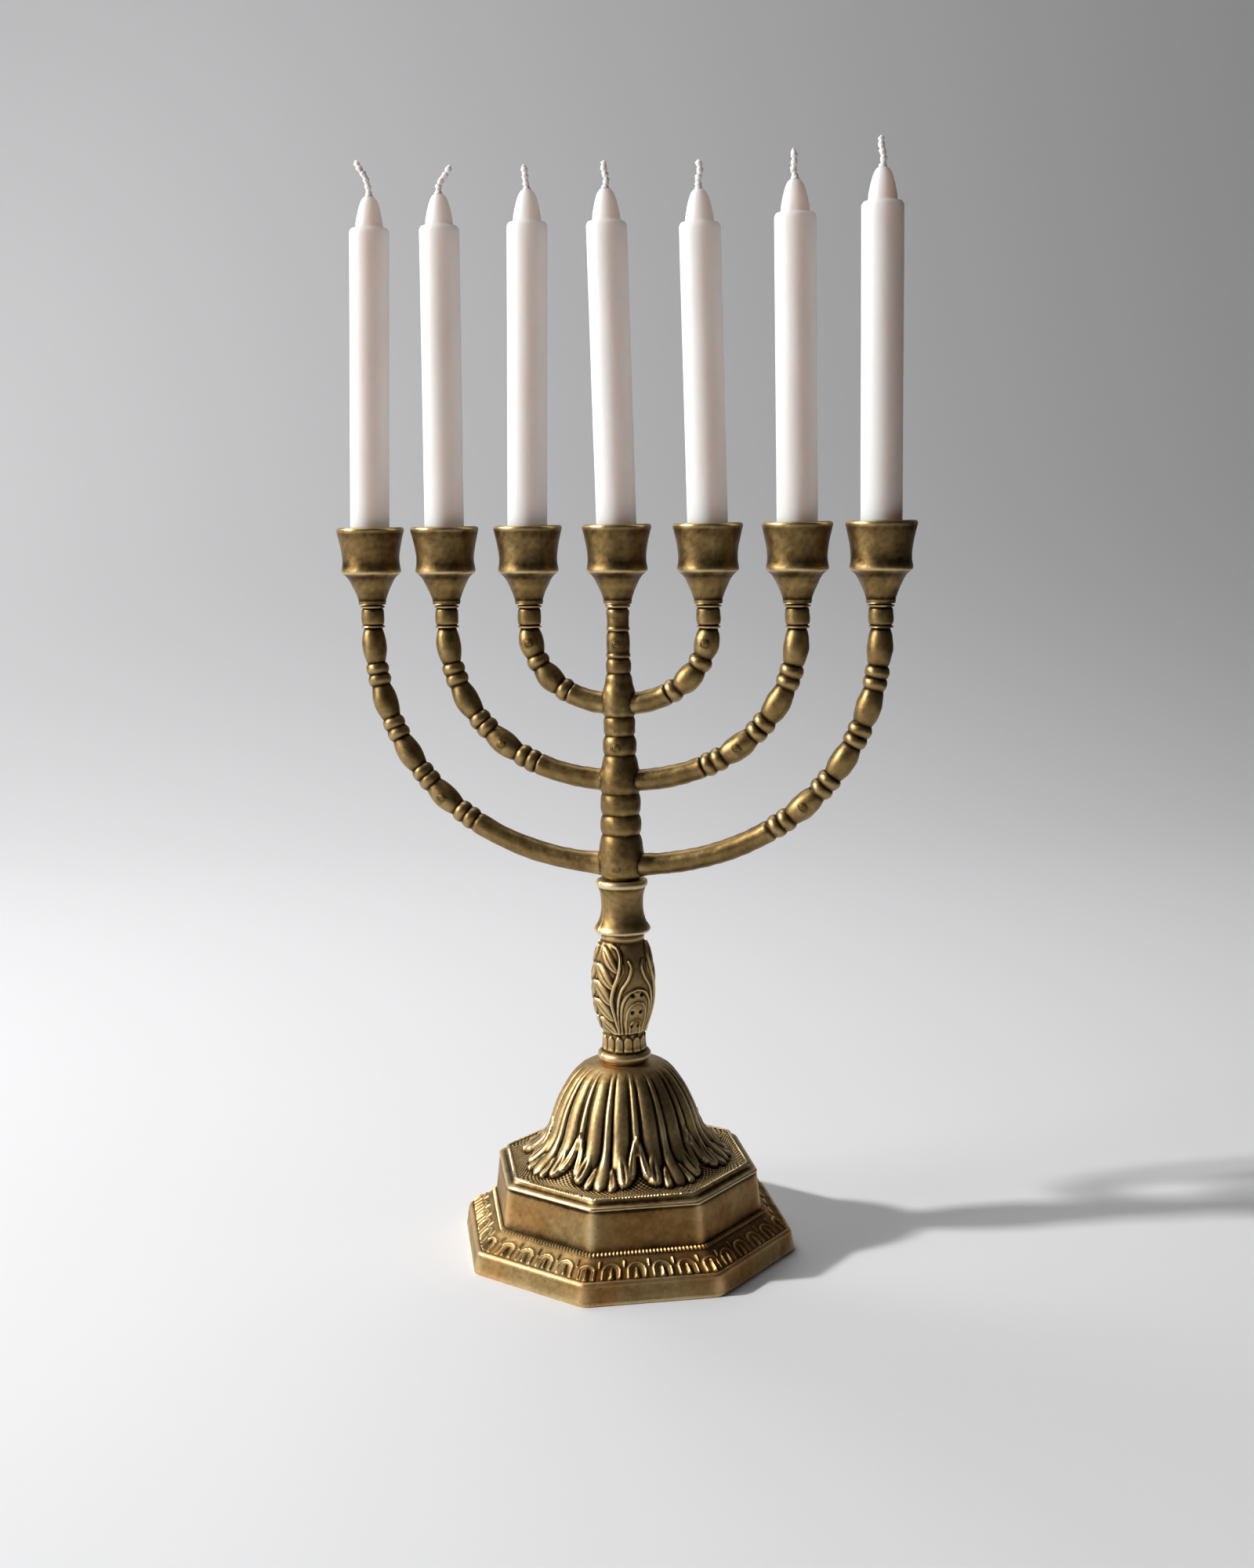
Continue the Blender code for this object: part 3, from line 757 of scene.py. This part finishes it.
def shaft_profile():
    """(radius, z) down the shaft's outside, across its foot and up the blind hole for the tie rod."""
    top, bottom = branch_high.z, branch_low.z
    return chain(
        [(0.5, top), (6.0, top)], [(6.0, top), (6.5, top - 0.7), (6.0, top - 1.5)],
        [(6.0, top - 1.5), (4.9, top - 1.9)],
        [(4.9, top - 1.9), (5.5, top - 2.6), (5.6, 326), (5.5, 321.7)],
        [(5.5, 321.7), (5.9, 321), (5.9, 320), (5.2, 319.2)],
        [(5.2, 319.2), (5.7, 317.4), (5.9, 313), (5.7, 308.4)],
        [(5.7, 308.4), (6.1, 307.6), (6.0, 306.5), (5.4, 305.8)],
        [(5.4, 305.8), (6.2, 304), (6.4, 301.5), (6.2, 299.2), (5.8, 298.2)],
        [(5.8, 298.2), (6.6, 296.4), (7.1, 293), (8.1, 289.5), (8.5, 286), (8.5, 280), (8.2, 277.4),
         (7.4, 276.2)],
        [(7.4, 276.2), (7.9, 275), (8, 271), (7.8, 267.8), (7.3, 266.6)],
        [(7.3, 266.6), (8.3, 264.4), (8.6, 261), (8.3, 258), (7.8, 256.8)],
        [(7.8, 256.8), (8.7, 254.4), (9.4, 251), (10.1, 248), (10.4, 245), (10.3, 239.5), (9.5, 237)],
        [(9.5, 237), (10.1, 235), (10.3, 231), (9.9, 227.4), (9.3, 226.2)],
        [(9.3, 226.2), (10.2, 224), (10.5, 220.5), (10.1, 217.2), (9.5, 216)],
        [(9.5, 216), (10.5, 213.5), (11.1, 210), (11.6, 205.5), (11.6, 200), (11.1, 196), (10.2, 194),
         (9.0, bottom)],
        [(9.0, bottom), (ROD_HOLE_R, bottom)], [(ROD_HOLE_R, bottom), (ROD_HOLE_R, ROD_HOLE_TOP)],
        [(ROD_HOLE_R, ROD_HOLE_TOP), (0.5, ROD_HOLE_TOP)], step=0.6)


def make_shaft():
    rows = shaft_profile()

    def heights(theta, i):
        radius, z = rows[i]
        if radius < 4:
            return 0 * theta
        return 0.09 * ripple(radius * np.cos(theta), radius * np.sin(theta), z, 6)

    mesh = ring_mesh("shaft", turned_rings(rows, [56] * len(rows), heights), caps=True)
    face_outwards(mesh)
    return put("shaft", mesh)


def unite(obj, others):
    """Joins closed meshes into one skin and removes them."""
    for other in others:
        modifier = obj.modifiers.new("join", "BOOLEAN")
        modifier.operation = "UNION"
        modifier.solver = "MANIFOLD"
        modifier.object = other
    bpy.context.view_layer.update()
    evaluated = obj.evaluated_get(bpy.context.evaluated_depsgraph_get())
    mesh = bpy.data.meshes.new_from_object(evaluated)
    obj.modifiers.clear()
    mesh.materials.clear()
    obj.data = mesh
    for other in others:
        bpy.data.objects.remove(other, do_unlink=True)


def make_branch_frame():
    shaft = make_shaft()
    shaft.name = "branch_relief"
    bars, marks = [], [(0, -5.9, 313.0), (0, -8.5, 261.0), (0, -11.3, 199.5)]
    for number, arch in enumerate(ARCHES, 1):
        bar, places = make_bar(arch, number)
        bars.append(bar)
        marks += places
    discs = [disc(*place, f"mark_{i}") for i, place in enumerate(marks)]
    unite(shaft, bars + discs)
    smooth_finish(shaft, 60)
    add_wear(shaft, 0.55, 12, slender=True)
    dress(shaft, BRASS_DARK, "head", "branch_frame")


# ---------------------------------------------------------------- cups, candles, wicks

SOCKET_R = 10.9
SOCKET_FLOOR = cup_high.z - 20
CUP_OUTSIDE = 62.0                      # distance along a cup's profile to the end of its outer side
CUP_POINTS = 80


def make_cup(number, x):
    top, bottom = cup_high.z, cup_low.z
    rows = chain(
        [(SOCKET_R, top - 0.5), (SOCKET_R + 0.5, top)], [(SOCKET_R + 0.5, top), (16.4, top)],
        [(16.4, top), (17.3, top - 0.6), (17.5, top - 1.8), (17.1, top - 3.2)],
        [(17.1, top - 3.2), (16.3, 366), (15.4, 361.5), (14.9, 357.5), (14.9, 353.8), (15.4, 351)],
        [(15.4, 351), (15.5, 350), (15.1, 349), (14.2, 348.4)],
        [(14.2, 348.4), (12.5, 346.8), (11, 344.4), (9.8, 341.8), (8.7, 339.4), (7.8, 337), (7.2, 335.2)],
        [(7.2, 335.2), (7.4, 334.4), (7.1, 333.5)], [(7.1, 333.5), (7.2, bottom)],
        [(7.2, bottom), (2.2, bottom)],
        [(2.2, bottom), (2.2, SOCKET_FLOOR - 2.6), (3.9, SOCKET_FLOOR - 2.6), (3.9, SOCKET_FLOOR)],
        [(3.9, SOCKET_FLOOR), (SOCKET_R, SOCKET_FLOOR)],
        [(SOCKET_R, SOCKET_FLOOR), (SOCKET_R, top - 0.5)], step=0.75)
    outside = np.cumsum(np.linalg.norm(np.gradient(rows, axis=0), axis=1)) < CUP_OUTSIDE
    shift = rng.uniform(0, 40, 3)

    def heights(theta, i):
        radius, z = rows[i]
        if not outside[i] or radius < 7:
            return 0 * theta
        px, py = radius * np.cos(theta) + shift[0], radius * np.sin(theta) + shift[1]
        return 0.12 * ripple(px, py, z + shift[2], 11) - 0.12 + 0.04 * ripple(py, px, z, 4)

    rings = turned_rings(rows[:-1], [CUP_POINTS] * (len(rows) - 1), heights, centre=(x, 0))
    obj = put(f"cup_relief_{number}", ring_mesh(f"cup_relief_{number}", rings, loop=True))
    smooth_finish(obj, 45)
    add_wear(obj, 0.35, 12, slender=True)
    dress(obj, BRASS_DARK, "head", f"candle_cup_{number}")


CANDLE_R = 10.05
CONE_HEIGHT = 16.0
LEAN_PIVOT = 0.1                        # share of a candle's height that its lean turns about

# How far each candle leans to the right over its height, and its wick's free end:
# (to the right, up) from the tip of the cone.
CANDLES = [
    {"lean": 6.2, "wick": [(0, 0), (-0.6, 5), (-1.6, 9), (-4.2, 13), (-6.4, 17.2)]},
    {"lean": 2.3, "wick": [(0, 0), (0.2, 3), (1.8, 6.5), (4.2, 9.6), (6.2, 13.6)]},
    {"lean": 3.9, "wick": [(0, 0), (-0.6, 4), (-0.9, 8), (-1.5, 11.6)]},
    {"lean": -3.2, "wick": [(0, 0), (0.5, 4), (-0.5, 8), (-0.6, 12.8)]},
    {"lean": -3.4, "wick": [(0, 0), (-0.3, 4), (0.6, 8), (-0.3, 13.4)]},
    {"lean": -1.2, "wick": [(0, 0), (-0.6, 4), (-0.2, 9), (-0.9, 13.6)]},
    {"lean": -0.5, "wick": [(0, 0), (0.2, 4), (-0.6, 9), (-0.8, 14)]},
]


def make_candle(number, x, facts):
    """A wax candle, faintly waved and leaning in its socket, with a moulded cone."""
    low, high = (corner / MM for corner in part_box(f"candle_{number}"))
    foot, tip = low.z, high.z
    shoulder = tip - CONE_HEIGHT
    rows = chain(
        [(0.3, tip), (1.6, tip - 0.1), (2.8, tip - 0.8), (3.9, tip - 2.2), (4.8, tip - 4.4), (5.9, tip - 8.4),
         (6.8, tip - 12.8), (7.2, shoulder + 0.4), (7.6, shoulder)],
        [(7.6, shoulder), (9.3, shoulder - 0.1)],
        [(9.3, shoulder - 0.1), (9.9, shoulder - 0.6), (CANDLE_R, shoulder - 1.6)],
        [(CANDLE_R, shoulder - 1.6), (CANDLE_R, foot + 0.6)],
        [(CANDLE_R, foot + 0.6), (CANDLE_R - 0.6, foot)], [(CANDLE_R - 0.6, foot), (0.3, foot)], step=1.6)
    shift = rng.uniform(0, 60, 2)

    def heights(theta, i):
        r, z = rows[i]
        wave = 0.05 * ripple(r * np.cos(theta) + shift[0], r * np.sin(theta) + shift[1], z * 0.35, 16)
        return (wave - 0.03) * (r > 6)

    rings = turned_rings(rows, [64] * len(rows), heights)
    for ring in rings:
        share = (ring[:, 2] - foot) / (tip - foot)
        ring += np.outer(share * facts["lean"] - LEAN_PIVOT * facts["lean"], RIGHT)
        ring[:, 0] += x
    obj = put(f"wax_candle_{number}", ring_mesh(f"wax_candle_{number}", rings, caps=True))
    smooth_finish(obj, 35)
    dress(obj, WAX, f"loose_candle_{number}", f"candle_{number}")


def make_wick(number, x, facts):
    """A twisted, waxed wick with a thick foot and a free end bent the way it was trimmed."""
    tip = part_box(f"candle_{number}")[1].z / MM
    start = np.array([x, 0, 0]) + RIGHT * facts["lean"] * (1 - LEAN_PIVOT)
    path = spline([(0, -3)] + facts["wick"], 0.28)
    sway = rng.uniform(0, 6, 3)
    rings = []
    tangent = np.gradient(path, axis=0)
    tangent /= np.linalg.norm(tangent, axis=1)[:, None]
    lengths = arc_lengths(path)
    psi = turns(14)
    for (across, up), (ta, tu), s in zip(path, tangent, lengths):
        centre = start + RIGHT * across + FORWARD * 0.5 * math.sin(s * 0.35 + sway[0])
        centre[2] = tip + up
        side = RIGHT * tu + np.array([0, 0, -ta])
        share = s / lengths[-1]
        lump = 0.22 * math.sin(s * 1.9 + sway[1]) + 0.14 * math.sin(s * 3.7 + sway[2])
        body = 1.42 + 0.6 * float(smoothstep(4.6, 2.6, s)) + lump * float(smoothstep(2.5, 5, s))
        body *= 1 - 0.75 * float(smoothstep(0.93, 1.0, share))
        reach = body * (1 + 0.09 * np.cos(3 * (psi - s * 0.9)))
        rings.append(centre + np.outer(reach * np.cos(psi), side) + np.outer(reach * np.sin(psi), FORWARD))
    mesh = ring_mesh(f"wick_strand_{number}", rings, caps=True)
    face_outwards(mesh)
    obj = put(f"wick_strand_{number}", mesh)
    smooth_finish(obj, 80)
    dress(obj, COTTON, f"loose_candle_{number}", f"wick_{number}")


# ---------------------------------------------------------------- carried-over steel pieces

def dress_steel():
    for name in ["tie_rod", "washer", "hex_nut"] + [f"cup_screw_{n}" for n in range(1, CUP_COUNT + 1)]:
        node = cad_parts[name]
        node.data.materials.clear()
        node.data.materials.append(STEEL)


# ---------------------------------------------------------------- studio

def plain(name, color, roughness):
    m = Nodes(name)
    m.shader.inputs["Base Color"].default_value = (*color, 1)
    m.shader.inputs["Roughness"].default_value = roughness
    return m.material


BEND_START, BEND_R = 1.1, 2.5           # where the floor begins to rise behind the object, in metres


def make_stage():
    """A pale floor that sweeps up into a backdrop well behind the object."""
    paper = plain("studio_paper", (0.80, 0.80, 0.81), 0.9)
    arc = [(BEND_START + BEND_R * math.sin(a), BEND_R - BEND_R * math.cos(a))
           for a in np.linspace(0, math.pi / 2, 32)]
    line = [(-4.0, 0.0)] + arc + [(BEND_START + BEND_R, 4.0)]
    points = [(x, y, z) for y, z in line for x in (-5.0, 5.0)]
    faces = [(2 * i, 2 * i + 1, 2 * i + 3, 2 * i + 2) for i in range(len(line) - 1)]
    mesh = bpy.data.meshes.new("studio_sweep")
    mesh.from_pydata(points, [], faces)
    sweep = put("studio_sweep", mesh)
    sweep.rotation_euler.z = CAMERA_TURN
    mesh.shade_smooth()
    mesh.materials.append(paper)


def make_flag():
    """A black card to the right, out of the camera's sight, that keeps that side of the metal dark."""
    black = plain("studio_flag", (0.01, 0.01, 0.01), 0.9)
    corners = [RIGHT * 0.75 + FORWARD * y + np.array([0, 0, z])
               for y, z in ((-0.9, 0.01), (0.7, 0.01), (0.7, 0.40), (-0.9, 0.40))]
    mesh = bpy.data.meshes.new("studio_flag")
    mesh.from_pydata([tuple(c) for c in corners], [], [(0, 1, 2, 3)])
    mesh.materials.append(black)
    flag = put("studio_flag", mesh)
    flag.visible_camera = False
    flag.visible_shadow = False


def area_light(name, power, size, place, target, spread=180):
    lamp = bpy.data.lights.new(name, "AREA")
    lamp.energy = power
    lamp.size = size
    lamp.spread = math.radians(spread)
    obj = bpy.data.objects.new(name, lamp)
    bpy.context.scene.collection.objects.link(obj)
    obj.location = place
    obj.rotation_euler = (Vector(target) - Vector(place)).to_track_quat("-Z", "Y").to_euler()
    obj.visible_camera = False


def make_lights():
    """A small lamp on the left for the crisp shadow, three wide soft ones and a dim room."""
    elevation = math.radians(32.5)
    swing = math.radians(5)
    away = RIGHT * math.cos(swing) + FORWARD * math.sin(swing)
    toward = -away * math.cos(elevation) + np.array([0, 0, math.sin(elevation)])
    centre = np.array([0, 0, 0.25])
    area_light("key", 125, 0.2, tuple(centre + toward * 3.6), tuple(centre))
    above = -RIGHT * 0.6 + FORWARD * 0.9 + np.array([0, 0, 2.2])
    area_light("overhead", 8.5, 1.4, tuple(above), (0, 0, 0.1), spread=110)
    front_left = -RIGHT * 2.2 - FORWARD * 0.8 + np.array([0, 0, 0.9])
    area_light("fill", 5.5, 0.9, tuple(front_left), (0, 0, 0.25), spread=100)
    behind = -RIGHT * 2.6 + FORWARD * 1.2 + np.array([0, 0, 1.5])
    far_wall = -RIGHT * 0.3 + FORWARD * 3.6 + np.array([0, 0, 0.9])
    area_light("backdrop", 5.6, 1.6, tuple(behind), tuple(far_wall), spread=100)
    world = bpy.data.worlds.new("studio")
    bpy.context.scene.world = world
    world.use_nodes = True
    sky = world.node_tree.nodes["Background"]
    sky.inputs["Color"].default_value = (0.95, 0.97, 1.0, 1)
    sky.inputs["Strength"].default_value = 0.025


CAMERA_DISTANCE, CAMERA_HEIGHT = 0.8824, 0.3729    # metres from the object's axis and above the floor


def make_camera():
    lens = bpy.data.cameras.new("view")
    lens.sensor_width = 36
    lens.lens = 40.2
    camera = bpy.data.objects.new("view", lens)
    bpy.context.scene.collection.objects.link(camera)
    bpy.context.scene.camera = camera
    camera.location = tuple(-FORWARD * CAMERA_DISTANCE + np.array([0, 0, CAMERA_HEIGHT]))
    pan, tilt, roll = math.radians(0.222), math.radians(8.468), math.radians(-0.833)
    camera.rotation_euler = (Matrix.Rotation(CAMERA_TURN - pan, 3, "Z")
                             @ Matrix.Rotation(math.pi / 2 - tilt, 3, "X")
                             @ Matrix.Rotation(roll, 3, "Z")).to_euler()


make_camera()
make_stage()
make_flag()
make_lights()
make_base()
make_stem()
make_branch_frame()
for cup_number, cup_x in enumerate(CUP_X, 1):
    make_cup(cup_number, cup_x)
    make_candle(cup_number, cup_x, CANDLES[cup_number - 1])
    make_wick(cup_number, cup_x, CANDLES[cup_number - 1])
dress_steel()
bpy.context.scene.view_settings.view_transform = "Standard"
